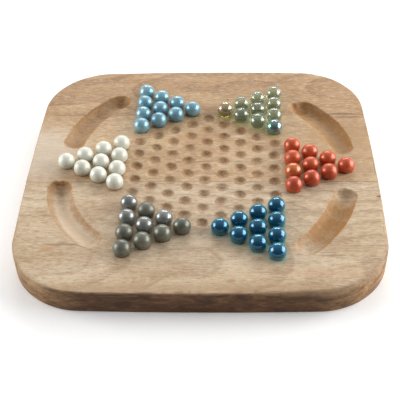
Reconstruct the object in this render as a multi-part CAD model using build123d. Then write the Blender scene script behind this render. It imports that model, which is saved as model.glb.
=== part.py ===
from build123d import *
import os
from math import cos, radians, sin, sqrt

# A Chinese checkers board: three edge-glued hardwood staves cut to one rounded
# square, a six-pointed star of marble seats, four round-bottomed troughs that
# hold captured or spare marbles, and six sets of ten glass marbles.
#
# Frame: origin on the underside at the middle of the board, +X along the grain
# towards the red home, +Y towards the back, +Z up.  Lengths are millimetres.

# Driving dimensions
MARBLE_DIAMETER = 16.0
HOLE_PITCH = 19.5
BOARD_WIDTH = 336.0
BOARD_DEPTH = 328.0
BOARD_THICKNESS = 24.0

# Outline: each side bows outwards, and the corners are large arcs
SIDE_BOW = 4.0
CORNER_RADIUS = 66.0
TOP_EDGE_ROUND = 2.0
BOTTOM_EDGE_ROUND = 1.5

# The star and the troughs are cut as one pattern, which stands a little off the
# middle of the board and is turned slightly, in degrees, against its outline
STAR_OFFSET_X = 3.6
STAR_OFFSET_Y = -0.6
PATTERN_TURN = -1.5
HOME_ROWS = 4

# Seats: spherical dimples that follow the marble with a small clearance
MARBLE_CENTRE_ABOVE_TOP = 5.2
SEAT_CLEARANCE = 0.25

# Troughs: one round-nosed groove in each quarter, on an arc about the star
TROUGH_ARC_RADIUS = 140.5
TROUGH_MIDDLE_ANGLE = 31.0
TROUGH_SWEEP = 33.0
TROUGH_BALL_RADIUS = 10.5
TROUGH_DEPTH = 8.0

# Glue joints between the staves
FRONT_JOINT_Y = -22.0
BACK_JOINT_Y = 84.0

# Homes: a marble belongs to the set whose lattice coordinate, times the sign,
# is greater than HOME_ROWS
HOMES = {
    "white": (0, -1),
    "red": (0, 1),
    "sky_blue": (1, 1),
    "teal_blue": (1, -1),
    "grey": (2, 1),
    "clear_green": (2, -1),
}
SINGLE_MARBLES_PER_SET = 8

# Worked-out sizes
MARBLE_RADIUS = MARBLE_DIAMETER / 2
SEAT_RADIUS = MARBLE_RADIUS + SEAT_CLEARANCE
MARBLE_CENTRE_Z = BOARD_THICKNESS + MARBLE_CENTRE_ABOVE_TOP


def star_holes():
    """Every hole as three lattice coordinates that add up to zero."""
    reach = range(-2 * HOME_ROWS, 2 * HOME_ROWS + 1)
    holes = []
    for a in reach:
        for b in reach:
            c = -a - b
            in_right_triangle = min(a, b, c) >= -HOME_ROWS
            in_left_triangle = max(a, b, c) <= HOME_ROWS
            if in_right_triangle or in_left_triangle:
                holes.append((a, b, c))
    return holes


def hole_position(hole):
    """X and Y of a hole; columns of holes run along Y before the pattern is turned."""
    a, b, c = hole
    across = a * HOLE_PITCH * sqrt(3) / 2
    along = (b - c) / 2 * HOLE_PITCH
    turn = radians(PATTERN_TURN)
    x = STAR_OFFSET_X + across * cos(turn) - along * sin(turn)
    y = STAR_OFFSET_Y + across * sin(turn) + along * cos(turn)
    return x, y


def home_holes(home):
    """The ten holes of one home triangle, from its tip inwards."""
    index, sign = home
    holes = [hole for hole in star_holes() if sign * hole[index] > HOME_ROWS]
    return sorted(holes, key=lambda hole: (-sign * hole[index], hole_position(hole)))


def board_blank():
    """The board's outer shape before the seats and troughs are cut."""
    half_width = BOARD_WIDTH / 2
    half_depth = BOARD_DEPTH / 2
    corner_x = half_width - SIDE_BOW
    corner_y = half_depth - SIDE_BOW
    corners = [(corner_x, corner_y), (-corner_x, corner_y), (-corner_x, -corner_y), (corner_x, -corner_y)]
    side_middles = [(0, half_depth), (-half_width, 0), (0, -half_depth), (half_width, 0)]
    sides = []
    for i, middle in enumerate(side_middles):
        sides.append(ThreePointArc(corners[i], middle, corners[(i + 1) % 4]))
    sharp_outline = make_face(sides)
    outline = fillet(sharp_outline.vertices(), CORNER_RADIUS)
    blank = extrude(outline, BOARD_THICKNESS)
    blank = fillet(blank.edges().group_by(Axis.Z)[-1], TOP_EDGE_ROUND)
    return fillet(blank.edges().group_by(Axis.Z)[0], BOTTOM_EDGE_ROUND)


def trough_cutters(middle_angle):
    """A round-bottomed groove along an arc, with a ball-shaped end each way."""
    axis_z = BOARD_THICKNESS + TROUGH_BALL_RADIUS - TROUGH_DEPTH
    centre = Location((STAR_OFFSET_X, STAR_OFFSET_Y, axis_z))
    start_angle = middle_angle - TROUGH_SWEEP / 2
    groove = Torus(TROUGH_ARC_RADIUS, TROUGH_BALL_RADIUS, major_angle=TROUGH_SWEEP, align=None)
    cutters = [centre * Rot(Z=start_angle) * groove]
    for angle in (start_angle, start_angle + TROUGH_SWEEP):
        x = TROUGH_ARC_RADIUS * cos(radians(angle))
        y = TROUGH_ARC_RADIUS * sin(radians(angle))
        cutters.append(centre * Pos(x, y, 0) * Sphere(TROUGH_BALL_RADIUS))
    return cutters


def all_trough_cutters():
    """The four troughs, one in each quarter of the turned pattern."""
    cutters = []
    for angle_from_right in (TROUGH_MIDDLE_ANGLE, -TROUGH_MIDDLE_ANGLE):
        cutters += trough_cutters(PATTERN_TURN + angle_from_right)
        cutters += trough_cutters(PATTERN_TURN + 180 - angle_from_right)
    return cutters


def seat_cutters(low_y, high_y):
    """The spheres that cut the seats lying wholly or partly between two Y limits."""
    cutters = []
    for hole in star_holes():
        x, y = hole_position(hole)
        if low_y - SEAT_RADIUS < y < high_y + SEAT_RADIUS:
            cutters.append(Pos(x, y, MARBLE_CENTRE_Z) * Sphere(SEAT_RADIUS))
    return cutters


def stave(blank, low_y, high_y):
    """One board of the glued panel, between two glue joints or outer edges."""
    slab = Box(BOARD_WIDTH, high_y - low_y, BOARD_THICKNESS, align=(Align.CENTER, Align.MIN, Align.MIN))
    piece = blank & (Pos(0, low_y, 0) * slab)
    for cutter in all_trough_cutters():
        piece -= cutter
    return piece - seat_cutters(low_y, high_y)


def marble(hole):
    """A glass marble at rest over its seat."""
    x, y = hole_position(hole)
    return Pos(x, y, MARBLE_CENTRE_Z) * Sphere(MARBLE_RADIUS)


def marble_nodes(colour, home):
    """Eight single marbles, then the last two of the home's front row as one pair."""
    holes = home_holes(home)
    nodes = {}
    for number, hole in enumerate(holes[:SINGLE_MARBLES_PER_SET], start=1):
        nodes[f"{colour}_marble_{number}"] = marble(hole)
    pair = holes[SINGLE_MARBLES_PER_SET:]
    nodes[f"{colour}_marble_pair"] = Compound([marble(hole) for hole in pair])
    return nodes


def build_nodes():
    """Every separate piece of the board, by name."""
    blank = board_blank()
    half_depth = BOARD_DEPTH / 2
    nodes = {
        "front_stave": stave(blank, -half_depth, FRONT_JOINT_Y),
        "middle_stave": stave(blank, FRONT_JOINT_Y, BACK_JOINT_Y),
        "back_stave": stave(blank, BACK_JOINT_Y, half_depth),
    }
    for colour, home in HOMES.items():
        nodes.update(marble_nodes(colour, home))
    return nodes


os.makedirs("parts", exist_ok=True)
for name, shape in build_nodes().items():
    export_step(shape, f"parts/{name}.step")
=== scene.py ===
import math

import bmesh
import bpy
import numpy as np
from mathutils import Matrix, Vector
from mathutils.geometry import delaunay_2d_cdt


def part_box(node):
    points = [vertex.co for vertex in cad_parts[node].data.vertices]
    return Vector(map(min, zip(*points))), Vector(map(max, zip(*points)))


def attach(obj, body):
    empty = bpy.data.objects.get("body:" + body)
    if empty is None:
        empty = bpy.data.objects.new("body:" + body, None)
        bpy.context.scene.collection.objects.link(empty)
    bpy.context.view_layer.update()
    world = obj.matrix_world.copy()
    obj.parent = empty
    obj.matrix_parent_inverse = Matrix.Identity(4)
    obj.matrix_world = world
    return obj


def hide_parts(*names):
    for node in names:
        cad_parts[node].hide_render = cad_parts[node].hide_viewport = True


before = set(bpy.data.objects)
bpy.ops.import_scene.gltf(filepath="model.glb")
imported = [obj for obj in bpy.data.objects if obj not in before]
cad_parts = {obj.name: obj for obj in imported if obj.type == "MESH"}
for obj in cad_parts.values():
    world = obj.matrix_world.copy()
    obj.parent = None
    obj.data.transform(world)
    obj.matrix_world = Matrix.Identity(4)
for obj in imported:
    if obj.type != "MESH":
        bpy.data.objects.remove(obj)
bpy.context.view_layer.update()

# Looks of the Chinese checkers board.  Lengths are metres in the CAD model's frame:
# +X along the grain, +Y to the back, +Z up, origin under the middle.
MM = 0.001

# -------- sizes

STAVES = ("front_stave", "middle_stave", "back_stave")
board_low = Vector(map(min, *[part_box(name)[0] for name in STAVES]))
board_high = Vector(map(max, *[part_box(name)[1] for name in STAVES]))
HALF_WIDTH = (board_high.x - board_low.x) / 2
HALF_DEPTH = (board_high.y - board_low.y) / 2
TOP_Z = board_high.z
FRONT_JOINT_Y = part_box("front_stave")[1].y
BACK_JOINT_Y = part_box("back_stave")[0].y
JOINTS_Y = (FRONT_JOINT_Y, BACK_JOINT_Y)

HOME_ROWS = 4
SINGLE_MARBLES_PER_SET = 8
MARBLE_RADIUS = 8.15 * MM
MARBLE_SUBDIVISIONS = 5
MARBLE_UNEVENNESS = 0.02 * MM
MARBLE_INSET = 0.03 * MM


def node_centre(name):
    """Middle of a CAD node's box."""
    low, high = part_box(name)
    return (low + high) / 2


# The tips of the left and right homes stand sixteen columns of holes apart
left_tip = node_centre("white_marble_1")
right_tip = node_centre("red_marble_1")
STAR = (left_tip + right_tip) / 2
PITCH = (right_tip - left_tip).length / (4 * HOME_ROWS * math.sqrt(3) / 2)
PATTERN_TURN = math.atan2(right_tip.y - left_tip.y, right_tip.x - left_tip.x)
MARBLE_Z = STAR.z

# Outline of the board
SIDE_BOW = 4.0 * MM
CORNER_RADIUS = 66.0 * MM
CORNER_WALK_STEPS = 60
OUTLINE_STEP = 1.3 * MM
BOTTOM_ROUND = 1.5 * MM

# Mesh detail of the board: spacing and clearances of its points, and rows down its edges and side
FILLER_STEP = 2.4 * MM
RING_CLEARANCE = 0.9 * MM
EDGE_CLEARANCE = 0.8 * MM
EDGE_BAND = 75 * MM
JOINT_CLEARANCE = 0.75 * MM
JOINT_STEP = 0.7 * MM
JOINT_SIDE_OFFSET = 0.35 * MM
JOINT_SIDE_INSET = 0.9 * MM
UNDERSIDE_STEP = 9 * MM
UNDERSIDE_EDGE_GAP = 8 * MM
UNDERSIDE_JOINT_POINTS = 60
TOP_ROUND_ROWS = 6
SIDE_ROWS = 6
BOTTOM_ROUND_ROWS = 4

# Marble seats, cut by a ball a little larger than the marble
SEAT_RADIUS = 8.3 * MM
SEAT_RIM_RADIUS = 6.5 * MM
SEAT_RIM_SOFTNESS = 0.25 * MM
SEAT_RINGS = [r * MM for r in (0.8, 1.7, 2.6, 3.5, 4.3, 5.0, 5.6, 6.0, 6.3, 6.6, 6.9, 7.4, 8.2)]
SEAT_RING_POINTS = 36
SEAT_FULL_RING = 6.0 * MM

# Glue joints, sunk a little, and the rings of painted light that see-through marbles gather on the wood
GLUE_GROOVE_DEPTH = 0.04 * MM
GLUE_GROOVE_HALF_WIDTH = 0.35 * MM
HALO_SHIFT = 1.5 * MM
HALO_START = 3.0 * MM
HALO_PEAK = 6.5 * MM
HALO_END = 11.5 * MM

# Troughs, cut by a round-nosed tool and dressed by hand
TROUGH_BALL_RADIUS = 10.5 * MM
TROUGH_RIM_SOFTNESS = 0.9 * MM
TROUGH_RIM_LINE = 0.55 * MM
TROUGH_STEP = 1.2 * MM
TROUGH_LINE_POINTS = 161
TROUGH_ARC_RADIUS = 140 * MM
TROUGH_SEARCH_BAND = 30 * MM
TROUGH_RINGS = [r * MM for r in (0.6, 2, 3.5, 5, 6.3, 7.4, 8.3, 9, 9.6, 10.1, 10.6, 11.2, 12, 13, 14.5)]
# Each quarter's trough: the angles of its two ends from the pattern's X axis, its arc radius and
# depth in millimetres at the start, middle and end, how far the walls lie back from the cutter's
# own shape, and how brown its floor, inner wall, outer wall and two end walls are.  A negative
# floor is painted light: paler wood standing in for light that reaches into the trough
TROUGHS = {
    "back_right": dict(
        mirror_x=1, mirror_y=1, angles=(14.5, 45.0), radii=(139.0, 141.5, 140.5),
        depths=(7.2, 8.0, 8.0), inner_lie_back=(1.15, 1.55, 1.35), outer_lie_back=1.06,
        floor=(0.38, 0.52, 0.60), inner=(0.32, 0.30, 0.42), outer=(0.70, 0.92, 0.85), caps=(0.42, 0.65)),
    "back_left": dict(
        mirror_x=-1, mirror_y=1, angles=(15.5, 48.0), radii=(138.5, 142.0, 143.0),
        depths=(6.8, 8.0, 8.0), inner_lie_back=(1.12, 1.12, 1.12), outer_lie_back=1.08,
        floor=(0.80, 0.22, 0.25), inner=(0.85, 0.45, 0.42), outer=(0.72, 0.42, 0.42), caps=(0.80, 0.48)),
    "front_left": dict(
        mirror_x=-1, mirror_y=-1, angles=(14.0, 45.5), radii=(140.5, 143.0, 141.0),
        depths=(8.0, 7.8, 6.8), inner_lie_back=(1.10, 1.10, 1.10), outer_lie_back=1.20,
        floor=(0.22, -0.95, -0.45), inner=(0.25, 0.55, 0.60), outer=(0.62, 0.36, 0.24), caps=(0.80, 0.74)),
    "front_right": dict(
        mirror_x=1, mirror_y=-1, angles=(16.0, 47.5), radii=(137.5, 138.8, 141.0),
        depths=(6.2, 7.8, 6.4), inner_lie_back=(1.14, 1.22, 1.14), outer_lie_back=1.10,
        floor=(0.25, 1.55, -0.30), inner=(0.30, 1.40, 0.40), outer=(0.75, 1.10, 0.30), caps=(0.30, 0.60)),
}


# -------- holes

def star_holes():
    """Every hole as three lattice coordinates that add up to zero."""
    reach = range(-2 * HOME_ROWS, 2 * HOME_ROWS + 1)
    holes = []
    for a in reach:
        for b in reach:
            c = -a - b
            if min(a, b, c) >= -HOME_ROWS or max(a, b, c) <= HOME_ROWS:
                holes.append((a, b, c))
    return holes


def hole_position(hole):
    """X and Y of a hole."""
    a, b, c = hole
    across = a * PITCH * math.sqrt(3) / 2
    along = (b - c) / 2 * PITCH
    x = STAR.x + across * math.cos(PATTERN_TURN) - along * math.sin(PATTERN_TURN)
    y = STAR.y + across * math.sin(PATTERN_TURN) + along * math.cos(PATTERN_TURN)
    return x, y


HOLES = np.array([hole_position(hole) for hole in star_holes()])


# Each set's lattice coordinate and the end of it that the home stands at
HOMES = {
    "white": (0, -1),
    "red": (0, 1),
    "sky_blue": (1, 1),
    "teal_blue": (1, -1),
    "grey": (2, 1),
    "clear_green": (2, -1),
}


def home_holes(name):
    """The holes of a set's home, from its tip inwards."""
    index, sign = HOMES[name]
    holes = [hole for hole in star_holes() if sign * hole[index] > HOME_ROWS]
    return sorted(holes, key=lambda hole: (-sign * hole[index], hole_position(hole)))


# Marbles that differ from the rest of their set, by their number from the tip
ODD_MARBLES = {
    ("red", 8): "golden_red",
    ("clear_green", 7): "golden_green",
    ("clear_green", 10): "rainbow_green",
    **{("grey", number): "polished_grey" for number in (4, 5, 7, 9)},
}


# -------- small numeric helpers

def ripple(x, y, wavelength, seed, waves=7):
    """A smooth random height between about -1 and 1, as a sum of plane waves."""
    rng = np.random.default_rng(seed)
    total = np.zeros_like(x)
    for _ in range(waves):
        angle = rng.uniform(0, 2 * math.pi)
        k = 2 * math.pi / (wavelength * rng.uniform(0.7, 1.6))
        phase = rng.uniform(0, 2 * math.pi)
        total += np.sin(k * (x * math.cos(angle) + y * math.sin(angle)) + phase)
    return total / math.sqrt(2 * waves)


def joint_distance(y):
    """How far each Y lies from the nearer glue joint."""
    return np.minimum(np.abs(y - FRONT_JOINT_Y), np.abs(y - BACK_JOINT_Y))


def soft_positive(value, softness):
    """value where it is positive and zero elsewhere, with a rounded change between them."""
    return 0.5 * (value + np.sqrt(value ** 2 + softness ** 2))


def smooth_step(value, low, high):
    """0 below low, 1 above high, smooth between."""
    t = np.clip((value - low) / (high - low), 0, 1)
    return t * t * (3 - 2 * t)


# -------- trough shape

def through_three(share, values):
    """The parabola through three values at 0, a half and 1."""
    start, middle, end = values
    return (start * (1 - share) * (1 - 2 * share) + 4 * middle * share * (1 - share)
            + end * share * (2 * share - 1))


class Trough:
    """The centre line of one trough and the shape cut along it."""

    def __init__(self, seed, mirror_x, mirror_y, angles, radii, **walls):
        self.seed = seed
        self.walls = walls
        steps = np.linspace(0, 1, TROUGH_LINE_POINTS)
        angle = np.radians(angles[0] + (angles[1] - angles[0]) * steps)
        radius = through_three(steps, radii) * MM
        flat_x = mirror_x * radius * np.cos(angle)
        flat_y = mirror_y * radius * np.sin(angle)
        cos_turn, sin_turn = math.cos(PATTERN_TURN), math.sin(PATTERN_TURN)
        self.x = STAR.x + flat_x * cos_turn - flat_y * sin_turn
        self.y = STAR.y + flat_x * sin_turn + flat_y * cos_turn
        self.length = float(np.hypot(np.diff(self.x), np.diff(self.y)).sum())

    def nearest(self, x, y):
        """Distance to the centre line, place along it from 0 to 1, and side: -1 inwards, 1 outwards."""
        gap_x = x[:, None] - self.x[None, :]
        gap_y = y[:, None] - self.y[None, :]
        distance_2 = gap_x ** 2 + gap_y ** 2
        index = distance_2.argmin(1)
        distance = np.sqrt(distance_2[np.arange(len(x)), index])
        outward_x, outward_y = self.x[index] - STAR.x, self.y[index] - STAR.y
        outward = (x - self.x[index]) * outward_x + (y - self.y[index]) * outward_y
        side = np.clip(outward / np.hypot(outward_x, outward_y) / (4 * MM), -1, 1)
        return distance, index / (len(self.x) - 1), side

    def depth(self, x, y):
        """How deep the trough is at each point, and how brown its wood is there."""
        distance, along, side = self.nearest(x, y)
        wobble = 0.35 * MM * ripple(x, y, 14 * MM, self.seed)
        wobble += 0.16 * MM * ripple(x, y, 4.5 * MM, self.seed + 1)
        inner_lean = through_three(along, self.walls["inner_lie_back"]) - 1
        outer_lean = self.walls["outer_lie_back"] - 1
        lean = 1 + inner_lean * smooth_step(-side, -0.2, 1) + outer_lean * smooth_step(side, -0.2, 1)
        away = np.abs(distance + wobble) / lean
        reach = np.minimum(away, TROUGH_BALL_RADIUS * 0.999)
        bottom = through_three(along, self.walls["depths"]) * MM
        cap = np.sqrt(TROUGH_BALL_RADIUS ** 2 - reach ** 2) - (TROUGH_BALL_RADIUS - bottom)
        depth = soft_positive(cap - (away - reach), TROUGH_RIM_SOFTNESS)
        depth *= 1 - smooth_step(distance, 15 * MM, 19 * MM)
        return depth, self.stain_and_painted_shading(x, y, away, distance, along, side, depth, bottom)

    def stain_and_painted_shading(self, x, y, away, distance, along, side, depth, bottom):
        """How brown the wood is at each point, or, where this is negative, how much painted light makes it
        paler.
        """
        floor, inner, outer = (through_three(along, self.walls[part])
                               for part in ("floor", "inner", "outer"))
        walls = inner + (outer - inner) * (side + 1) / 2
        for end, cap_stain in zip((0, 1), self.walls["caps"]):
            walls = np.where((along == end) & (distance > 2 * MM), cap_stain, walls)
        steepness = smooth_step(away, 4.5 * MM, 8.5 * MM)
        stain_and_painted_shading = np.clip(floor + (walls - floor) * steepness, -1, 1)
        stain_and_painted_shading *= smooth_step(depth, 0.1 * MM, 1.3 * MM)
        rim = np.sqrt(TROUGH_BALL_RADIUS ** 2 - (TROUGH_BALL_RADIUS - bottom) ** 2)
        rim_line = np.exp(-((away - rim) / TROUGH_RIM_LINE) ** 2)
        rim_line = rim_line * (0.42 + 0.35 * ripple(x, y, 18 * MM, self.seed + 2))
        return np.clip(stain_and_painted_shading + np.clip(rim_line, 0, 1), -1, 1)

    def rings(self):
        """Points on lines that run round the trough at set distances from its centre line."""
        places = np.linspace(0, len(self.x) - 1, int(self.length / TROUGH_STEP))
        x = np.interp(places, np.arange(len(self.x)), self.x)
        y = np.interp(places, np.arange(len(self.y)), self.y)
        tangent_x, tangent_y = np.gradient(x), np.gradient(y)
        size = np.hypot(tangent_x, tangent_y)
        normal_x, normal_y = -tangent_y / size, tangent_x / size
        points = []
        for ring in TROUGH_RINGS:
            for sign in (-1, 1):
                points += list(zip(x + sign * ring * normal_x, y + sign * ring * normal_y))
            cap_points = max(3, int(math.pi * ring / TROUGH_STEP))
            for end, sign in ((0, -1), (-1, 1)):
                start_angle = math.atan2(sign * tangent_y[end], sign * tangent_x[end])
                for i in range(1, cap_points):
                    angle = start_angle - math.pi / 2 + math.pi * i / cap_points
                    points.append((x[end] + ring * math.cos(angle), y[end] + ring * math.sin(angle)))
        return points


TROUGH_SHAPES = [Trough(10 * i + 5, **shape) for i, shape in enumerate(TROUGHS.values())]


# -------- board surface

def seats_at(x, y):
    """How deep the seats are at each point, and how brown the cutter left them, with painted shade on one
    side of each, mostly the back wall.
    """
    gap = np.full_like(x, 1.0)
    stain_and_painted_shading = np.zeros_like(x)
    rng = np.random.default_rng(11)
    for hole_x, hole_y in HOLES:
        here = np.hypot(x - hole_x, y - hole_y)
        nearest = here < gap
        gap = np.where(nearest, here, gap)
        # Painted shade: each seat is browner on its wall towards the back, which faces the unlit front
        painted_shade_side = math.radians(rng.uniform(45, 150))
        lean = (x - hole_x) * math.cos(painted_shade_side) + (y - hole_y) * math.sin(painted_shade_side)
        lean = np.clip(lean / SEAT_RIM_RADIUS, -0.6, 1)
        stain_and_painted_shading = np.where(nearest, rng.uniform(0.45, 1.0) * (0.55 + 0.75 * lean), stain_and_painted_shading)
    inside = np.minimum(gap, SEAT_RADIUS * 0.999)
    cap = np.sqrt(SEAT_RADIUS ** 2 - inside ** 2) - (MARBLE_Z - TOP_Z) - (gap - inside)
    depth = soft_positive(cap, SEAT_RIM_SOFTNESS) * (1 - smooth_step(gap, 8 * MM, 9.5 * MM))
    return depth, stain_and_painted_shading * smooth_step(depth, 0.05 * MM, 1.0 * MM)


def troughs_at(x, y):
    """How deep the troughs are at each point, and how brown their wood is, or how pale where painted light
    is laid on.
    """
    depth = np.zeros_like(x)
    stain_and_painted_shading = np.zeros_like(x)
    near = np.abs(np.hypot(x - STAR.x, y - STAR.y) - TROUGH_ARC_RADIUS) < TROUGH_SEARCH_BAND
    for shape in TROUGH_SHAPES:
        depth_here, stain_and_painted_shading_here = shape.depth(x[near], y[near])
        depth[near] = np.maximum(depth[near], depth_here)
        stain_and_painted_shading[near] += stain_and_painted_shading_here
    return depth, stain_and_painted_shading


def board_height(x, y):
    """Height of the top face, and the seat and trough masks that the wood shader reads."""
    height = TOP_Z + 0.07 * MM * ripple(x, y, 45 * MM, 1) + 0.02 * MM * ripple(x, y, 12 * MM, 2)
    seat_depth, seat = seats_at(x, y)
    trough_depth, trough = troughs_at(x, y)
    glue_groove = GLUE_GROOVE_DEPTH * (1 - smooth_step(joint_distance(y), 0, GLUE_GROOVE_HALF_WIDTH))
    return height - seat_depth - trough_depth - glue_groove, seat, trough


def gathered_light(x, y, name):
    """How much painted light a set of see-through marbles gathers on the wood, in a ring round each."""
    halo = np.zeros_like(x)
    for hole in home_holes(name):
        hole_x, hole_y = hole_position(hole)
        gap = np.hypot(x - hole_x, y - hole_y + HALO_SHIFT)
        ring = smooth_step(gap, HALO_START, HALO_PEAK) * (1 - smooth_step(gap, HALO_PEAK, HALO_END))
        halo = np.maximum(halo, ring)
    return halo


def outline(step):
    """The board's edge as (x, y, outward normal x, outward normal y), anticlockwise."""
    end_radius = (HALF_DEPTH ** 2 + SIDE_BOW ** 2) / (2 * SIDE_BOW)
    side_radius = (HALF_WIDTH ** 2 + SIDE_BOW ** 2) / (2 * SIDE_BOW)
    centre_x = HALF_WIDTH - end_radius
    centre_y = HALF_DEPTH - side_radius
    end_centre = Vector((centre_x, 0))
    side_centre = Vector((0, centre_y))
    # The corner arc is tangent to both side arcs: walk its centre to the place where that holds
    corner = Vector((HALF_WIDTH - CORNER_RADIUS, HALF_DEPTH - CORNER_RADIUS))
    for _ in range(CORNER_WALK_STEPS):
        for centre, radius in ((end_centre, end_radius), (side_centre, side_radius)):
            corner = centre + (corner - centre).normalized() * (radius - CORNER_RADIUS)
    first_angle = math.atan2(corner.y, corner.x - centre_x)
    second_angle = math.atan2(corner.y - centre_y, corner.x)
    arcs = (
        (end_centre, end_radius, 0, first_angle),
        (corner, CORNER_RADIUS, first_angle, second_angle),
        (side_centre, side_radius, second_angle, math.pi / 2),
    )
    quarter = []
    for centre, radius, start, end in arcs:
        count = max(2, int(radius * (end - start) / step))
        for i in range(count):
            angle = start + (end - start) * i / count
            direction = Vector((math.cos(angle), math.sin(angle)))
            quarter.append((*(centre + radius * direction), *direction))
    upper = quarter + [(0, HALF_DEPTH, 0, 1)] + [(-x, y, -nx, ny) for x, y, nx, ny in reversed(quarter)]
    lower = [(x, -y, nx, -ny) for x, y, nx, ny in reversed(upper[1:-1])]
    return np.array(upper + lower)


def with_joint_crossings(edge):
    """The outline with extra points where the glue joints meet it."""
    rows = []
    for here, after in zip(edge, np.roll(edge, -1, axis=0)):
        rows.append(here)
        for joint_y in JOINTS_Y:
            if (here[1] - joint_y) * (after[1] - joint_y) < 0:
                share = (joint_y - here[1]) / (after[1] - here[1])
                rows.append(here + (after - here) * share)
    return np.array(rows)


def edge_round(edge):
    """Radius of the worn top edge round the board; the front right corner is softest."""
    angle = np.arctan2(edge[:, 1], edge[:, 0])
    soft_corner = np.exp(-((angle + math.radians(48)) / math.radians(20)) ** 2)
    other_corners = np.exp(-((np.abs(angle) - math.radians(135)) / math.radians(18)) ** 2)
    wear = 0.3 * MM * ripple(edge[:, 0], edge[:, 1], 30 * MM, 8)
    return 1.5 * MM + 4.5 * MM * soft_corner + 0.5 * MM * other_corners + wear


def seat_points():
    """A point in the middle of every seat, and rings of points round it."""
    points = []
    for hole_x, hole_y in HOLES:
        points.append((hole_x, hole_y))
        for number, ring in enumerate(SEAT_RINGS):
            shift = 0.5 * (number % 2)
            count = max(8, int(SEAT_RING_POINTS * min(1, 0.3 + ring / SEAT_FULL_RING)))
            for i in range(count):
                angle = 2 * math.pi * (i + shift) / count
                points.append((hole_x + ring * math.cos(angle), hole_y + ring * math.sin(angle)))
    return points


def filler_points():
    """A loose staggered grid of points that keeps clear of the seats and troughs."""
    rng = np.random.default_rng(3)
    rows = np.arange(-HALF_DEPTH, HALF_DEPTH, FILLER_STEP * math.sqrt(3) / 2)
    columns = np.arange(-HALF_WIDTH, HALF_WIDTH, FILLER_STEP)
    grid_x, grid_y = np.meshgrid(columns, rows)
    grid_x[1::2] += FILLER_STEP / 2
    filler = np.stack([grid_x.ravel(), grid_y.ravel()], 1)
    filler += rng.uniform(-0.3, 0.3, filler.shape) * MM
    clear = np.full(len(filler), True)
    for hole_x, hole_y in HOLES:
        gap = np.hypot(filler[:, 0] - hole_x, filler[:, 1] - hole_y)
        clear &= gap > SEAT_RINGS[-1] + RING_CLEARANCE
    for shape in TROUGH_SHAPES:
        clear &= shape.nearest(filler[:, 0], filler[:, 1])[0] > TROUGH_RINGS[-1] + RING_CLEARANCE
    return filler[clear]


def distance_inside(points, edge):
    """How far each point lies inside an outline, or a large number in the middle of the board."""
    side_gap = np.minimum(HALF_WIDTH - np.abs(points[:, 0]), HALF_DEPTH - np.abs(points[:, 1]))
    near_edge = side_gap < EDGE_BAND
    close = points[near_edge]
    edge_x, edge_y, normal_x, normal_y = edge.T
    depth = (edge_x - close[:, 0:1]) * normal_x + (edge_y - close[:, 1:2]) * normal_y
    distance = np.full(len(points), 1.0)
    distance[near_edge] = depth.min(1)
    return distance


def top_points(inner_edge):
    """Places for the top face's vertices, away from its edge and from the points along the joints."""
    points = seat_points()
    for shape in TROUGH_SHAPES:
        points += shape.rings()
    points = np.concatenate([np.array(points), filler_points()])
    inside = distance_inside(points, inner_edge) > EDGE_CLEARANCE
    return points[inside & (joint_distance(points[:, 1]) > JOINT_CLEARANCE)]


def joint_reach(edge, joint_y):
    """How far from the middle of the board an outline crosses a glue joint."""
    on_joint = np.abs(edge[:, 1] - joint_y) < 0.01 * MM
    return float(np.min(np.abs(edge[on_joint, 0])))


def row_along(y, reach, count):
    """A row of points along the grain, from -reach to reach."""
    return np.stack([np.linspace(-reach, reach, count), np.full(count, y)], 1)


def joint_lines(inner_edge):
    """Rows of points along each glue joint and just beside it."""
    rows = []
    for joint_y in JOINTS_Y:
        reach = joint_reach(inner_edge, joint_y)
        count = int(2 * reach / JOINT_STEP)
        rows.append(row_along(joint_y, reach, count)[1:-1])
        for side in (-1, 1):
            rows.append(row_along(joint_y + side * JOINT_SIDE_OFFSET, reach - JOINT_SIDE_INSET, count))
    return rows


def flat_sheet(edge, interior, lines):
    """Vertices and triangles of a flat sheet inside an outline, with the joint lines kept as edges."""
    segments = []
    offset = len(edge) + len(interior)
    for line in lines:
        segments += [(i, i + 1) for i in range(offset, offset + len(line) - 1)]
        offset += len(line)
    # In millimetres, for the solver's sake
    points = [Vector(point) for point in np.concatenate([edge[:, :2], interior, *lines]) / MM]
    vertices, _, faces, _, _, _ = delaunay_2d_cdt(points, segments, [], 0, 1e-4, False)
    return np.array([(v.x * MM, v.y * MM) for v in vertices]), faces


def wall_rows(edge, top_round):
    """Rows of (inset from the full outline, height) down the side, from the top face to the underside."""
    rows = []
    for i in range(TOP_ROUND_ROWS + 1):
        turn = math.pi / 2 * i / TOP_ROUND_ROWS
        rows.append((top_round * (1 - math.sin(turn)), TOP_Z - top_round * (1 - math.cos(turn))))
    side_top = TOP_Z - top_round
    for i in range(1, SIDE_ROWS + 1):
        share = i / (SIDE_ROWS + 1)
        wave = 0.12 * MM * ripple(edge[:, 0] + i * 3 * MM, edge[:, 1], 35 * MM, 20)
        rows.append((wave, side_top + (BOTTOM_ROUND - side_top) * share))
    for i in range(BOTTOM_ROUND_ROWS + 1):
        turn = math.pi / 2 * i / BOTTOM_ROUND_ROWS
        inset = np.full(len(edge), BOTTOM_ROUND * (1 - math.cos(turn)))
        rows.append((inset, np.full(len(edge), BOTTOM_ROUND * (1 - math.sin(turn)))))
    return rows


def inset_edge(edge, inset):
    """The outline moved inwards along its normals."""
    moved = edge.copy()
    moved[:, 0] -= inset * edge[:, 2]
    moved[:, 1] -= inset * edge[:, 3]
    # Points on a glue joint stay on it
    for joint_y in JOINTS_Y:
        on_joint = np.abs(edge[:, 1] - joint_y) < 0.0001 * MM
        moved[on_joint, 1] = joint_y
    return moved


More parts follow.
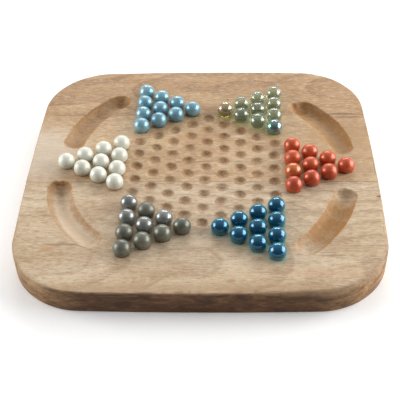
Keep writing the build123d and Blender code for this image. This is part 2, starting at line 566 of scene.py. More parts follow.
def add_top(mesh, inner_edge):
    """The top face with its seats and troughs, and the values that the wood shader reads there."""
    sheet, faces = flat_sheet(inner_edge, top_points(inner_edge), joint_lines(inner_edge))
    x, y = sheet.T
    height, seat, trough = board_height(x, y)
    masks = {"seat": seat, "trough": trough,
             "teal_light": gathered_light(x, y, "teal_blue"),
             "green_light": gathered_light(x, y, "clear_green")}
    layers = [(mesh.verts.layers.float[name], values) for name, values in masks.items()]
    top = [mesh.verts.new(place) for place in zip(x, y, height)]
    for number, vertex in enumerate(top):
        for layer, values in layers:
            vertex[layer] = values[number]
    for face in faces:
        mesh.faces.new([top[i] for i in face])


def add_sides(mesh, edge, inner_edge, top_round):
    """The rounded side down to the underside; returns its last row of vertices."""
    wall = mesh.verts.layers.float["wall"]
    edge_height = board_height(inner_edge[:, 0], inner_edge[:, 1])[0] - TOP_Z
    rings = []
    for number, (inset, z) in enumerate(wall_rows(edge, top_round)):
        down_the_round = min(1.0, number / TOP_ROUND_ROWS)
        x, y, _, _ = inset_edge(edge, inset).T
        ring = [mesh.verts.new(place) for place in zip(x, y, z + edge_height * (1 - down_the_round))]
        for vertex in ring:
            vertex[wall] = down_the_round
        rings.append(ring)
    for upper, lower in zip(rings, rings[1:]):
        for i in range(len(upper)):
            after = (i + 1) % len(upper)
            mesh.faces.new([upper[i], lower[i], lower[after], upper[after]])
    return rings[-1]


def add_underside(mesh, last_ring):
    """Flat underside, triangulated from the last row of the side."""
    edge = np.array([(v.co.x, v.co.y, 0, 0) for v in last_ring])
    grid = np.array([(x, y) for x in np.arange(-HALF_WIDTH, HALF_WIDTH, UNDERSIDE_STEP)
                     for y in np.arange(-HALF_DEPTH, HALF_DEPTH, UNDERSIDE_STEP)])
    # A rounded square, well inside the outline
    reach_x = np.abs(grid[:, 0]) / (HALF_WIDTH - UNDERSIDE_EDGE_GAP)
    reach_y = np.abs(grid[:, 1]) / (HALF_DEPTH - UNDERSIDE_EDGE_GAP)
    interior = grid[(reach_x ** 4 + reach_y ** 4 < 0.8) & (joint_distance(grid[:, 1]) > 2 * MM)]
    lines = [row_along(joint_y, joint_reach(edge, joint_y), UNDERSIDE_JOINT_POINTS)[1:-1]
             for joint_y in JOINTS_Y]
    sheet, faces = flat_sheet(edge, interior, lines)
    wall = mesh.verts.layers.float["wall"]
    below = [mesh.verts.new((x, y, 0)) for x, y in sheet]
    for vertex in below:
        vertex[wall] = 1.0
    for face in faces:
        mesh.faces.new([below[i] for i in reversed(face)])


def board_mesh():
    """The whole board as one closed mesh with shader masks, before it is parted into staves."""
    edge = with_joint_crossings(outline(OUTLINE_STEP))
    top_round = edge_round(edge)
    inner_edge = inset_edge(edge, top_round)
    mesh = bmesh.new()
    for name in ("seat", "trough", "wall", "teal_light", "green_light"):
        mesh.verts.layers.float.new(name)
    add_top(mesh, inner_edge)
    add_underside(mesh, add_sides(mesh, edge, inner_edge, top_round))
    bmesh.ops.remove_doubles(mesh, verts=mesh.verts[:], dist=0.01 * MM)
    bmesh.ops.recalc_face_normals(mesh, faces=mesh.faces[:])
    return mesh


def part_stave(whole, low_y, high_y):
    """The part of the board between two Y limits, closed at the glue joints."""
    piece = whole.copy()
    outside = [f for f in piece.faces if not low_y < f.calc_center_median().y < high_y]
    bmesh.ops.delete(piece, geom=outside, context="FACES")
    open_edges = [e for e in piece.edges if e.is_boundary]
    if open_edges:
        bmesh.ops.triangle_fill(piece, use_beauty=True, edges=open_edges)
    bmesh.ops.recalc_face_normals(piece, faces=piece.faces[:])
    return piece


def new_object(name, mesh):
    """A smooth-shaded Blender object from a bmesh."""
    data = bpy.data.meshes.new(name)
    mesh.to_mesh(data)
    mesh.free()
    for polygon in data.polygons:
        polygon.use_smooth = True
    obj = bpy.data.objects.new(name, data)
    bpy.context.scene.collection.objects.link(obj)
    return obj


# -------- shader building

def linear_light(red, green, blue):
    """A colour as the eye sees it, 0 to 255, turned into linear light."""
    linear = []
    for value in (red, green, blue):
        value /= 255
        linear.append(value / 12.92 if value <= 0.04045 else ((value + 0.055) / 1.055) ** 2.4)
    return (*linear, 1.0)


class Shader:
    """A node material under construction: each method adds one node and returns its output."""

    def __init__(self, name):
        self.material = bpy.data.materials.new(name)
        self.material.use_nodes = True
        self.tree = self.material.node_tree
        self.tree.nodes.clear()
        self.output = self.node("ShaderNodeOutputMaterial")
        coordinates = self.node("ShaderNodeTexCoord")
        # Places on the object in millimetres
        self.place = self.vector("SCALE", coordinates.outputs["Object"], scale=1 / MM)

    def connect(self, socket, value):
        """Links a socket to another node's output, or sets it to a number, or a colour 0 to 255."""
        if isinstance(value, bpy.types.NodeSocket):
            self.tree.links.new(value, socket)
        elif value is not None:
            socket.default_value = linear_light(*value) if socket.type == "RGBA" else value

    def node(self, kind, inputs=(), **settings):
        """A new node with its own settings, and its input sockets given in order or by name."""
        node = self.tree.nodes.new(kind)
        for name, value in settings.items():
            setattr(node, name, value)
        sockets = inputs.items() if isinstance(inputs, dict) else enumerate(inputs)
        for socket, value in sockets:
            self.connect(node.inputs[socket], value)
        return node

    def math(self, operation, *values):
        return self.node("ShaderNodeMath", values, operation=operation).outputs[0]

    def times(self, a, b):
        return self.math("MULTIPLY", a, b)

    def vector(self, operation, a, b=None, scale=None):
        node = self.node("ShaderNodeVectorMath", (a, b), operation=operation)
        if scale is not None:
            node.inputs["Scale"].default_value = scale
        return node.outputs["Value" if operation == "LENGTH" else "Vector"]

    def split(self, vector):
        return self.node("ShaderNodeSeparateXYZ", (vector,)).outputs

    def join(self, x, y, z):
        return self.node("ShaderNodeCombineXYZ", (x, y, z)).outputs[0]

    def noise(self, vector, scale=1.0, detail=2.0, roughness=0.5, distortion=0.0):
        inputs = {"Vector": vector, "Scale": scale, "Detail": detail, "Roughness": roughness,
                  "Distortion": distortion}
        return self.node("ShaderNodeTexNoise", inputs).outputs[0]

    def cells(self, vector):
        """Distance to the nearest of a scatter of points."""
        return self.node("ShaderNodeTexVoronoi", {"Vector": vector, "Scale": 1.0}).outputs["Distance"]

    def step(self, value, low, high, to_low=0.0, to_high=1.0):
        """Maps low..high to to_low..to_high with smooth ends."""
        inputs = (value, low, high, to_low, to_high)
        return self.node("ShaderNodeMapRange", inputs, interpolation_type="SMOOTHSTEP").outputs[0]

    def mix(self, share, a, b, blend="MIX"):
        """Colours a and b mixed.  The node's colour sockets are the seventh and eighth."""
        return self.node("ShaderNodeMix", {"Factor": share, 6: a, 7: b}, data_type="RGBA",
                         blend_type=blend).outputs[2]

    def ramp(self, value, stops):
        """A colour ramp through (place, colour) stops."""
        node = self.node("ShaderNodeValToRGB", (value,))
        elements = node.color_ramp.elements
        while len(elements) < len(stops):
            elements.new(0.5)
        for element, (place, tint) in zip(elements, stops):
            element.position = place
            element.color = linear_light(*tint)
        return node.outputs[0]

    def mask(self, name):
        """A float stored on the mesh's vertices."""
        return self.node("ShaderNodeAttribute", attribute_name=name).outputs["Fac"]

    def facing(self, blend):
        """0 where the surface faces the viewer, rising towards its outline."""
        return self.node("ShaderNodeLayerWeight", {"Blend": blend}).outputs["Facing"]

    def bump(self, height, distance, strength=1.0, after=None):
        inputs = {"Height": height, "Distance": distance, "Strength": strength, "Normal": after}
        return self.node("ShaderNodeBump", inputs).outputs[0]

    def finish(self, **sockets):
        """Adds the Principled shader with the given inputs and returns the material."""
        inputs = {name.replace("_", " "): value for name, value in sockets.items()}
        shader = self.node("ShaderNodeBsdfPrincipled", inputs)
        self.tree.links.new(shader.outputs[0], self.output.inputs[0])
        return self.material


# -------- wood

def spot(shader, place, x, y, half_length, half_width, ragged=0.35):
    """A soft elliptical patch on the top face, lying along the grain."""
    offset = shader.vector("SUBTRACT", place, (x, y, 0))
    shrunk = shader.vector("MULTIPLY", offset, (1 / half_length, 1 / half_width, 0))
    length = shader.vector("LENGTH", shrunk)
    roughened = shader.math("ADD", length, shader.times(shader.noise(place, 0.12, 3, 0.6), ragged))
    return shader.step(roughened, 1.0 + ragged * 0.5, 0.3 + ragged * 0.5)


def stretched(shader, place, along, across):
    """Coordinates for a pattern with the given cycles per millimetre along and across the grain."""
    return shader.vector("MULTIPLY", place, (along, across, across))


# Noise patterns in the wood: cycles per millimetre along and across the grain, then detail,
# roughness and distortion
GRAIN_PATTERNS = {
    "ring_wander": (0.007, 0.016, 2, 0.5, 0.0),
    "ring_drift": (0.010, 0.003, 1.5, 0.5, 0.0),
    "ring_area": (0.006, 0.02, 2, 0.5, 0.0),
    "broad": (0.010, 0.030, 3, 0.55, 0.0),
    "figure": (0.055, 0.018, 2, 0.5, 0.6),
    "streak": (0.022, 0.16, 4, 0.6, 0.5),
    "dash": (0.14, 0.62, 4, 0.70, 0.4),
    "mottle": (0.16, 0.26, 4, 0.65, 0.0),
    "fibre": (0.10, 1.5, 4, 0.65, 0.3),
    "pore": (0.30, 2.2, 2, 0.5, 0.0),
    "mineral": (0.012, 0.26, 3, 0.5, 0.9),
    "mineral_area": (0.012, 0.02, 2, 0.5, 0.0),
    "gold": (0.03, 0.05, 3, 0.5, 0.0),
    "blotch": (0.05, 0.09, 4, 0.65, 0.0),
    "scrape": (0.30, 0.12, 3, 0.6, 0.8),
}
# How far the growth rings wander sideways and drift in depth, in millimetres
RING_WANDER = 22.0
RING_DRIFT = 34.0


def grain(shader, place, pattern):
    """One of the wood's noise patterns."""
    along, across, detail, roughness, distortion = GRAIN_PATTERNS[pattern]
    return shader.noise(stretched(shader, place, along, across), 1.0, detail, roughness, distortion)


def layered(shader, tone, layers):
    """tone with each layer's tint mixed in, up to its share, where its pattern goes from low to high."""
    for pattern, low, high, share, tint in layers:
        tone = shader.mix(shader.step(pattern, low, high, 0.0, share), tone, tint)
    return tone


def growth_rings(shader, place, heart_y, heart_z, tilt, ring_width):
    """Dark late wood of the rings round a heart line that runs along the grain below the board."""
    x, y, z = shader.split(shader.place)
    wander, drift = (shader.math("MULTIPLY_ADD", grain(shader, place, pattern), size, -size / 2)
                     for pattern, size in (("ring_wander", RING_WANDER), ("ring_drift", RING_DRIFT)))
    ring_y = shader.math("SUBTRACT", shader.math("ADD", y, wander), heart_y)
    ring_z = shader.math("ADD", shader.math("MULTIPLY_ADD", x, tilt, -heart_z), z)
    radius = shader.vector("LENGTH", shader.join(0.0, ring_y, shader.math("ADD", ring_z, drift)))
    ring = shader.math("FRACT", shader.math("DIVIDE", radius, ring_width))
    late_wood = shader.times(shader.math("POWER", ring, 2.5), shader.step(ring, 1.0, 0.88))
    return shader.times(late_wood, shader.step(grain(shader, place, "ring_area"), 0.30, 0.55))


def plain_wood(shader, patterns, rings, pores, tones):
    """The wood's own colour: broad bands, rings, streaks, mottle, fibres and pores."""
    light, middle, dark = tones
    tone = shader.ramp(patterns["broad"], ((0.30, dark), (0.50, middle), (0.70, light)))
    tone = layered(shader, tone, (
        (patterns["figure"], 0.56, 0.72, 0.15, dark),
        (patterns["figure"], 0.44, 0.30, 0.20, light),
    ))
    tone = shader.mix(rings, tone, (134, 100, 66))
    tone = layered(shader, tone, (
        (patterns["streak"], 0.54, 0.74, 0.34, (136, 106, 78)),
        (patterns["streak"], 0.42, 0.28, 0.35, (218, 200, 176)),
        (patterns["dash"], 0.51, 0.66, 0.42, (122, 90, 62)),
        (patterns["dash"], 0.48, 0.34, 0.36, (226, 208, 184)),
        (patterns["mottle"], 0.52, 0.68, 0.20, (150, 112, 76)),
        (patterns["mottle"], 0.48, 0.32, 0.18, (224, 206, 182)),
        (patterns["fibre"], 0.50, 0.72, 0.30, (118, 88, 60)),
        (patterns["fibre"], 0.48, 0.30, 0.20, (232, 214, 190)),
    ))
    return shader.mix(pores, tone, (92, 62, 38))


def wood_flaws(shader, place, tone):
    """Fine dark mineral lines, golden patches and dark specks here and there."""
    mineral_area = shader.step(grain(shader, place, "mineral_area"), 0.52, 0.68)
    mineral_line = shader.step(grain(shader, place, "mineral"), 0.60, 0.70)
    mineral_line = shader.times(mineral_line, mineral_area)
    tone = shader.mix(shader.times(mineral_line, 0.5), tone, (92, 76, 62))
    speck = shader.cells(stretched(shader, place, 0.020, 0.030))
    return layered(shader, tone, (
        (grain(shader, place, "gold"), 0.64, 0.78, 0.40, (170, 118, 60)),
        (speck, 0.035, 0.015, 0.8, (74, 48, 28)),
    ))


def placed_marks(shader, tone, marks):
    """Soft patches at chosen places on the top face.

    Each mark is its X and Y, half its length and half its width in millimetres, its strength
    and its colour.
    """
    wall = shader.mask("wall")
    for x, y, half_length, half_width, strength, mark_colour in marks:
        patch = spot(shader, shader.place, x, y, half_length, half_width)
        share = shader.times(patch, shader.step(wall, 0.9, 0.3, 0.0, strength))
        tone = shader.mix(share, tone, mark_colour)
    return tone


def coloured_light(shader, tone):
    """The tint of the light that see-through marbles gather on the wood, painted into its colour."""
    for mask, share, tint in (("teal_light", 0.24, (120, 196, 186)),
                              ("green_light", 0.26, (160, 166, 84))):
        tone = shader.mix(shader.times(shader.mask(mask), share), tone, tint)
    return tone


def glue_lines(shader, tone, broad):
    """A thin dark line along each glue joint, fainter in places."""
    _, y, _ = shader.split(shader.place)
    gaps = [shader.math("ABSOLUTE", shader.math("SUBTRACT", y, joint_y / MM))
            for joint_y in JOINTS_Y]
    line = shader.step(shader.math("MINIMUM", *gaps), 0.6, 0.15, 0.0, 0.5)
    line = shader.times(line, shader.step(broad, 0.38, 0.58, 0.35, 1.0))
    return shader.mix(line, tone, (98, 66, 40))


def wood_relief(shader, patterns, pores):
    """Surface normal: raised fibres, sunk pores and the roughness that the cutters left."""
    relief = shader.math("ADD", shader.times(patterns["fibre"], 0.5),
                         shader.times(patterns["dash"], 0.5))
    relief = shader.math("SUBTRACT", relief, shader.times(pores, 0.6))
    carved = shader.math("MAXIMUM", shader.mask("trough"), shader.mask("seat"))
    carved = shader.times(carved, shader.noise(shader.place, 0.5, 2, 0.5))
    normal = shader.bump(relief, 0.22 * MM, 0.6)
    return shader.bump(carved, 0.6 * MM, 0.5, after=normal)


def tool_stains(shader, tone):
    """Golden staining, pale painted light on some trough floors, painted shade on the back wall of each
    seat, and scorched tool marks in the troughs and seats.
    """
    trough = shader.mask("trough")
    seat = shader.mask("seat")
    # Painted light: trough floors with a negative mask are paled towards a light tan, standing in for
    # light reaching into them
    painted_floor_light = shader.math("MAXIMUM", shader.times(trough, -1.0), 0.0)
    brown = shader.math("MAXIMUM", trough, 0.0)
    blotch = grain(shader, shader.place, "blotch")
    stained = shader.times(brown, shader.step(blotch, 0.32, 0.62, 0.68, 1.0))
    scrape = grain(shader, shader.place, "scrape")
    scraped = shader.times(shader.step(scrape, 0.50, 0.68), shader.step(brown, 0.45, 0.95))
    burn = shader.step(shader.noise(shader.place, 0.35, 3, 0.65), 0.46, 0.64)
    for area, share, tint in (
        (painted_floor_light, 0.75, (230, 207, 178)),
        (stained, 0.88, (160, 111, 50)),
        (scraped, 0.32, (118, 76, 34)),
        # The seat mask holds the cutter's brown and the painted shade on each seat's back wall
        (seat, 0.55, (152, 106, 60)),
        (shader.times(seat, burn), 0.55, (92, 58, 30)),
    ):
        tone = shader.mix(shader.times(area, share), tone, tint)
    return tone


# The painted shade along the middle of the front side: where it starts and where it is full, in
# millimetres
FRONT_PAINTED_SHADE_X = (146.0, 92.0)
FRONT_PAINTED_SHADE_Y = (-140.0, -160.0)


def side_tone(shader, place, tone):
    """Sawn sides: browner, and darkest along the middle of the front as painted shade, with the grain
    showing as bands.
    """
    wall = shader.mask("wall")
    bands = shader.noise(shader.vector("MULTIPLY", place, (0.045, 0.05, 0.16)), 1.0, 5, 0.62, 1.2)
    fine = shader.noise(shader.vector("MULTIPLY", place, (0.25, 0.25, 0.9)), 1.0, 3, 0.6)
    x, y, _ = shader.split(shader.place)
    # Painted shade: the side is multiplied darker, with deeper bands, towards the middle of the front,
    # which no lamp faces
    in_middle = shader.step(shader.math("ABSOLUTE", x), *FRONT_PAINTED_SHADE_X)
    front = shader.times(shader.step(y, *FRONT_PAINTED_SHADE_Y), in_middle)
    shade = shader.mix(front, (206, 180, 148), (118, 80, 34))
    dark = shader.mix(front, (96, 66, 40), (62, 38, 18))
    pale = shader.mix(front, (196, 164, 124), (140, 100, 60))
    tone = shader.mix(shader.times(wall, 0.95), tone, shade, "MULTIPLY")
    for band, tint in (
        (shader.step(bands, 0.48, 0.62, 0.0, 0.72), dark),
        (shader.step(bands, 0.46, 0.34, 0.0, 0.45), pale),
        (shader.step(fine, 0.55, 0.75, 0.0, 0.4), (58, 38, 22)),
    ):
        tone = shader.mix(shader.times(wall, band), tone, tint)
    return tone


def wood_material(name, tones, heart_y, heart_z, tilt, ring_width, ring_show, seed, marks):
    """Oiled mango wood in light, middle and dark tones, with rings, pores, stains and marks."""
    shader = Shader(name)
    place = shader.vector("ADD", shader.place, (seed * 37.0, 0, 0))
    names = ("broad", "figure", "streak", "dash", "mottle", "fibre", "pore")
    patterns = {pattern: grain(shader, place, pattern) for pattern in names}
    rings = growth_rings(shader, place, heart_y, heart_z, tilt, ring_width)
    rings = shader.times(rings, ring_show)
    pores = shader.step(patterns["pore"], 0.65, 0.74, 0.0, 0.60)
    tone = plain_wood(shader, patterns, rings, pores, tones)
    tone = wood_flaws(shader, place, tone)
    tone = placed_marks(shader, tone, marks)
    tone = tool_stains(shader, tone)
    tone = coloured_light(shader, tone)
    tone = side_tone(shader, place, tone)
    tone = glue_lines(shader, tone, patterns["broad"])
    roughness = shader.math("MULTIPLY_ADD", patterns["fibre"], 0.18, 0.50)
    return shader.finish(Base_Color=tone, Roughness=roughness, Specular_IOR_Level=0.30,
                         Normal=wood_relief(shader, patterns, pores))


def front_wood():
    """Pale greyish beige, with quiet figure and dark fine lines."""
    marks = (
        (38, -143, 22, 5, 0.25, (212, 190, 160)),
        (28, -149, 5, 2.5, 0.45, (170, 118, 56)),
        (-118, -106, 34, 2.0, 0.45, (104, 82, 62)),
        (118, -119, 16, 1.6, 0.50, (112, 90, 70)),
        (96, -66, 60, 4, 0.25, (140, 112, 82)),
        (166, -43, 4, 1.6, 0.85, (52, 34, 22)),
        (-30, -128, 70, 6, 0.18, (150, 128, 104)),
        (-134, -112, 12, 5, 0.45, (176, 132, 84)),
        (100, -140, 60, 8, 0.20, (190, 144, 102)),
        (0, -160, 210, 13, 0.55, (160, 128, 94)),
        (-60, -60, 60, 18, 0.15, (176, 150, 122)),
    )
    tones = ((206, 186, 158), (192, 169, 139), (173, 146, 113))
    return wood_material("front_mango_wood", tones, heart_y=-125, heart_z=-55, tilt=0.10,
                         ring_width=8.5, ring_show=0.50, seed=1, marks=marks)


def middle_wood():
    """Light tan, with straight grain and some flecks."""
    marks = (
        (-148, 25, 26, 2.2, 0.30, (150, 122, 96)),
        (150, 40, 30, 3, 0.25, (160, 128, 92)),
        (-70, -16, 60, 3, 0.35, (150, 112, 74)),
        (26, 24, 1.6, 1.0, 0.8, (70, 46, 30)),
        (150, 80, 24, 3.4, 0.60, (112, 80, 54)),
        (-8, 45, 40, 14, 0.20, (182, 140, 100)),
        (-160, 20, 60, 60, 0.55, (208, 196, 180)),
        (150, 40, 70, 60, 0.45, (166, 132, 94)),
    )
    tones = ((198, 170, 134), (185, 154, 116), (168, 133, 94))
    return wood_material("middle_mango_wood", tones, heart_y=60, heart_z=-95, tilt=0.05,
                         ring_width=9.0, ring_show=0.32, seed=4, marks=marks)


def back_wood():
    """Warm pinkish tan, with curly figure and a cathedral."""
    marks = (
        (146, 85.5, 20, 2.8, 0.60, (104, 74, 50)),
        (60, 118, 30, 7, 0.25, (160, 112, 74)),
        (-56, 150, 40, 3, 0.25, (142, 106, 74)),
        (-120, 108, 34, 8, 0.20, (196, 158, 124)),
        (12, 96, 22, 8, 0.22, (162, 114, 76)),
    )
    tones = ((186, 153, 114), (172, 137, 97), (154, 115, 75))
    return wood_material("back_mango_wood", tones, heart_y=128, heart_z=-34, tilt=-0.10,
                         ring_width=9.5, ring_show=0.95, seed=7, marks=marks)


def build_board():
    """The three staves, each standing for its CAD node."""
    whole = board_mesh()
    limits = {
        "front_stave": (-1.0, FRONT_JOINT_Y, "front_wood", front_wood),
        "middle_stave": (FRONT_JOINT_Y, BACK_JOINT_Y, "middle_wood", middle_wood),
        "back_stave": (BACK_JOINT_Y, 1.0, "back_wood", back_wood),
    }
    for node, (low_y, high_y, slot, material) in limits.items():
        stave = new_object(node + "_carved", part_stave(whole, low_y, high_y))
        stave.data.materials.append(material())
        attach(stave, "board")
        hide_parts(node)
    whole.free()


# -------- marbles

def pearl_glass(name, deep, pale, rim, roughness=0.34, lustre=0.3, coat=0.6, gloss=0.12, seed=0):
    """Opaque marble glass under a thin metallic lustre."""
    shader = Shader(name)
    place = shader.vector("ADD", shader.place, (seed * 11.0, seed * 5.0, 0))
    cloud = shader.noise(place, 0.13, 3, 0.55, 1.2)
    swirl = shader.noise(shader.vector("MULTIPLY", place, (0.30, 0.30, 0.08)), 1.0, 3, 0.6, 2.2)
    batch = shader.noise(place, 0.030, 1.0)
    speckle = shader.noise(place, 1.6, 2, 0.6)
    cloudy = shader.step(cloud, 0.34, 0.66, 0.0, 0.5)
    cloudy = shader.math("ADD", cloudy, shader.step(batch, 0.38, 0.62, 0.0, 0.5))
    tone = shader.mix(cloudy, deep, pale)
    tone = shader.mix(shader.step(swirl, 0.55, 0.75, 0.0, 0.35), tone, rim)
    # Painted sheen and edge shade: towards the ball's outline the colour moves part way to the rim tint,
    # lighter than the body for most sets and a darker cream for the white
    tone = shader.mix(shader.times(shader.facing(0.30), 0.35), tone, rim)
    tone = shader.mix(shader.step(speckle, 0.52, 0.75, 0.0, 0.16), tone, pale)
    finish = shader.math("MULTIPLY_ADD", shader.noise(place, 0.045, 1.0), 0.40, roughness - 0.20)
    pits = shader.step(shader.noise(place, 1.3, 2), 0.72, 0.80)
    relief = shader.math("SUBTRACT", shader.times(cloud, 0.6), shader.times(pits, 0.2))
    normal = shader.bump(relief, 0.10 * MM, 0.5)
    return shader.finish(Base_Color=tone, Roughness=finish, Metallic=lustre, Specular_IOR_Level=0.6,
                         Coat_Weight=coat, Coat_Roughness=gloss, Coat_IOR=1.6, Normal=normal)


def clear_glass(name, core, tint, pale_tint, glow, transmission, roughness=0.02, coat=0.8,
                coat_ior=2.0, film=0.0, film_spread=0.0, lustre=0.0, seed=0):
    """See-through tinted marble glass with a bright lustre coat.

    It is painted deepest in the middle, as painted shade where light crosses most glass, and paler at its
    lower rim, as painted light gathered there.  A film thickness in nanometres gives it a rainbow sheen.
    """
    shader = Shader(name)
    place = shader.vector("ADD", shader.place, (seed * 7.0, 0, seed * 3.0))
    cloud = shader.noise(place, 0.14, 2, 0.5, 0.8)
    tone = shader.mix(shader.step(cloud, 0.35, 0.68), tint, pale_tint)
    # Painted shade and light: the core tint darkens the middle that faces the viewer, and the glow tint
    # lightens the lower part of the ball
    tone = shader.mix(shader.step(shader.facing(0.5), 0.75, 0.15), tone, core)
    _, _, z = shader.split(shader.place)
    glow_top = (MARBLE_Z - 0.15 * MARBLE_RADIUS) / MM
    glow_full = (MARBLE_Z - 0.8 * MARBLE_RADIUS) / MM
    tone = shader.mix(shader.times(shader.step(z, glow_top, glow_full), 0.8), tone, glow)
    thickness = film
    if film_spread:
        thickness = shader.math("MULTIPLY_ADD", shader.noise(place, 0.10, 2, 0.5, 0.6), film_spread, film)
    normal = shader.bump(shader.noise(place, 0.20, 2, 0.5), 0.12 * MM, 0.5)
    return shader.finish(Base_Color=tone, Roughness=roughness, Transmission_Weight=transmission, IOR=1.5,
                         Metallic=lustre, Coat_Weight=coat, Coat_Roughness=0.04, Coat_IOR=coat_ior,
                         Thin_Film_Thickness=thickness, Thin_Film_IOR=1.9, Normal=normal)


def marble_materials():
    """One glass for each colour of marble, and the odd ones in some sets."""
    return {
        "white": pearl_glass(
            "white_pearl_glass", (208, 208, 192), (226, 225, 213), (200, 202, 178),
            roughness=0.46, lustre=0.08, coat=0.32, gloss=0.18, seed=1),
        "red": pearl_glass(
            "red_lustre_glass", (166, 50, 14), (198, 84, 36), (208, 106, 60),
            roughness=0.42, lustre=0.26, coat=0.34, gloss=0.14, seed=2),
        "golden_red": pearl_glass(
            "golden_red_lustre_glass", (174, 60, 20), (204, 108, 52), (210, 138, 76),
            lustre=0.32, seed=3),
        "sky_blue": pearl_glass(
            "sky_blue_lustre_glass", (95, 145, 165), (136, 179, 193), (144, 183, 197),
            coat=0.45, seed=4),
        "grey": pearl_glass(
            "grey_satin_glass", (91, 92, 80), (115, 115, 102), (120, 121, 108),
            roughness=0.42, coat=0.25, gloss=0.20, seed=5),
        "polished_grey": pearl_glass(
            "grey_polished_glass", (94, 97, 94), (136, 139, 134), (146, 150, 146),
            roughness=0.30, coat=1.0, gloss=0.05, seed=6),
        "teal_blue": clear_glass(
            "teal_blue_glass", (0, 88, 122), (0, 126, 154), (0, 158, 182), (0, 184, 198),
            transmission=0.22, roughness=0.16, coat=0.65, coat_ior=1.55, lustre=0.38, seed=7),
        "clear_green": clear_glass(
            "clear_green_glass", (202, 226, 208), (216, 238, 222), (232, 247, 236), (198, 218, 162),
            transmission=0.95, seed=8),
        "golden_green": clear_glass(
            "golden_green_glass", (190, 202, 160), (202, 206, 120), (212, 220, 170), (210, 208, 92),
            transmission=0.93, film=230.0, film_spread=90.0, seed=9),
        "rainbow_green": clear_glass(
            "rainbow_green_glass", (96, 146, 150), (110, 164, 164), (160, 184, 190), (176, 196, 120),
            transmission=0.75, film=240.0, film_spread=560.0, lustre=0.3, seed=10),
    }


def marble_mesh(centres, seed):
    """Glass balls, very slightly out of round, each with its own material slot."""
    mesh = bmesh.new()
    rng = np.random.default_rng(seed)
    for slot_number, centre in enumerate(centres):
        ball = bmesh.ops.create_icosphere(
            mesh, subdivisions=MARBLE_SUBDIVISIONS, radius=MARBLE_RADIUS)["verts"]
        turn = Matrix.Rotation(rng.uniform(0, math.tau), 4, "Z")
        spin = turn @ Matrix.Rotation(rng.uniform(0, math.pi), 4, "X")
        phase = rng.uniform(0, math.tau, 3)
        for vertex in ball:
            direction = vertex.co.normalized()
            unevenness = math.sin(2.3 * direction.x + phase[0]) * math.sin(2.9 * direction.y + phase[1])
            unevenness += 0.5 * math.sin(5.1 * direction.z + phase[2])
            vertex.co = direction * (MARBLE_RADIUS - MARBLE_INSET + MARBLE_UNEVENNESS * unevenness)
            for face in vertex.link_faces:
                face.material_index = slot_number
        bmesh.ops.transform(mesh, matrix=Matrix.Translation(centre) @ spin, verts=ball)
    return mesh


def build_marbles():
    """Sixty marbles in their homes, each riding on its own CAD body."""
    materials = marble_materials()
    for set_number, name in enumerate(HOMES):
        holes = home_holes(name)
        numbers = list(range(1, len(holes) + 1))
        groups = {str(number): [number] for number in numbers[:SINGLE_MARBLES_PER_SET]}
        groups["pair"] = numbers[SINGLE_MARBLES_PER_SET:]
        for label, members in groups.items():
            node = f"{name}_marble_{label}"
            centres = [Vector((*hole_position(holes[number - 1]), MARBLE_Z)) for number in members]
            marble = new_object(node + "_glass", marble_mesh(centres, 100 * set_number + members[0]))
            for number in members:
                marble.data.materials.append(materials[ODD_MARBLES.get((name, number), name)])
            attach(marble, node)
            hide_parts(node)


# -------- stage

FLOOR_GLOW = 0.10
FLOOR_HALF_WIDTH = 40.0
SKY_FRONT_LEVEL = 0.10
SKY_BACK_LEVEL = 0.62


def pale_floor_material():
    """A quiet matte white with a trace of unevenness and a faint glow, like a lit table."""
    shader = Shader("pale_floor")
    grain = shader.noise(shader.place, 0.02, 2)
    shade = shader.mix(grain, (253, 253, 252), (250, 250, 249))
    return shader.finish(Base_Color=shade, Roughness=0.9, Emission_Color=(255, 255, 255),
                         Emission_Strength=FLOOR_GLOW)


def add_floor():
    """A wide pale floor."""
    mesh = bmesh.new()
    bmesh.ops.create_grid(mesh, x_segments=8, y_segments=8, size=FLOOR_HALF_WIDTH)
    floor = new_object("floor", mesh)
    floor.data.materials.append(pale_floor_material())


def panel(name, place, target, width, height, power):
    """A soft rectangular light aimed at a point."""
    light = bpy.data.lights.new(name, "AREA")
    light.shape = "RECTANGLE"
    light.size, light.size_y = width, height
    light.energy = power
    obj = bpy.data.objects.new(name, light)
    obj.location = place
    obj.rotation_mode = "QUATERNION"
    obj.rotation_quaternion = (Vector(target) - Vector(place)).to_track_quat("-Z", "Y")
    bpy.context.scene.collection.objects.link(obj)


def add_lights():
    """Tall panels at the left and right and a low strip behind."""
    target = (0, 0, TOP_Z)
    panel("right_panel", (1.30, 0.10, 0.52), target, width=1.3, height=0.95, power=25.0)
    panel("left_panel", (-1.35, 0.05, 0.48), target, width=0.9, height=0.85, power=16.5)
    panel("back_strip", (0.05, 1.7, 1.05), target, width=1.5, height=0.30, power=16.0)


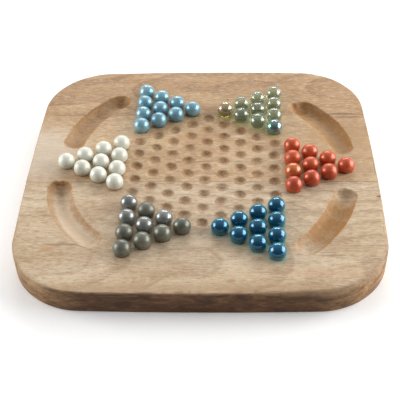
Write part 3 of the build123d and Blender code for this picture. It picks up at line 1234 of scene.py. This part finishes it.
def add_sky():
    """A pale surround that is dark at the front and bright at the back."""
    world = bpy.data.worlds.new("studio")
    world.use_nodes = True
    tree = world.node_tree
    background = tree.nodes["Background"]
    direction = tree.nodes.new("ShaderNodeTexCoord")
    split = tree.nodes.new("ShaderNodeSeparateXYZ")
    fade = tree.nodes.new("ShaderNodeMapRange")
    levels = {"From Min": -0.75, "From Max": 0.35, "To Min": SKY_FRONT_LEVEL, "To Max": SKY_BACK_LEVEL}
    for name, value in levels.items():
        fade.inputs[name].default_value = value
    tree.links.new(direction.outputs["Generated"], split.inputs[0])
    tree.links.new(split.outputs["Y"], fade.inputs["Value"])
    tree.links.new(fade.outputs[0], background.inputs["Strength"])
    background.inputs["Color"].default_value = (1.0, 1.0, 1.0, 1.0)
    bpy.context.scene.world = world


# The camera looks down at the board from the front, turned a little to the right
CAMERA_AZIMUTH = math.radians(2.33)
CAMERA_ELEVATION = math.radians(42.24)
CAMERA_ROLL = math.radians(-1.60)
CAMERA_DISTANCE = 0.791
CAMERA_LENS = 76.6
CAMERA_TARGET_FROM_STAR = Vector((-0.0041, -0.0471, 0))


def add_camera():
    """The camera, with its roll about the line of sight."""
    target = Vector((STAR.x, STAR.y, TOP_Z)) + CAMERA_TARGET_FROM_STAR
    back = Vector((
        math.sin(CAMERA_AZIMUTH) * math.cos(CAMERA_ELEVATION),
        -math.cos(CAMERA_AZIMUTH) * math.cos(CAMERA_ELEVATION),
        math.sin(CAMERA_ELEVATION),
    ))
    data = bpy.data.cameras.new("camera")
    data.lens = CAMERA_LENS
    data.sensor_width = 36.0
    data.clip_start = 0.05
    camera = bpy.data.objects.new("camera", data)
    camera.location = target + back * CAMERA_DISTANCE
    level = (-back).to_track_quat("-Z", "Y").to_matrix()
    camera.rotation_euler = (level @ Matrix.Rotation(CAMERA_ROLL, 3, "Z")).to_euler()
    bpy.context.scene.collection.objects.link(camera)
    bpy.context.scene.camera = camera


build_board()
build_marbles()
add_floor()
add_lights()
add_sky()
add_camera()
bpy.context.scene.view_settings.view_transform = "Standard"
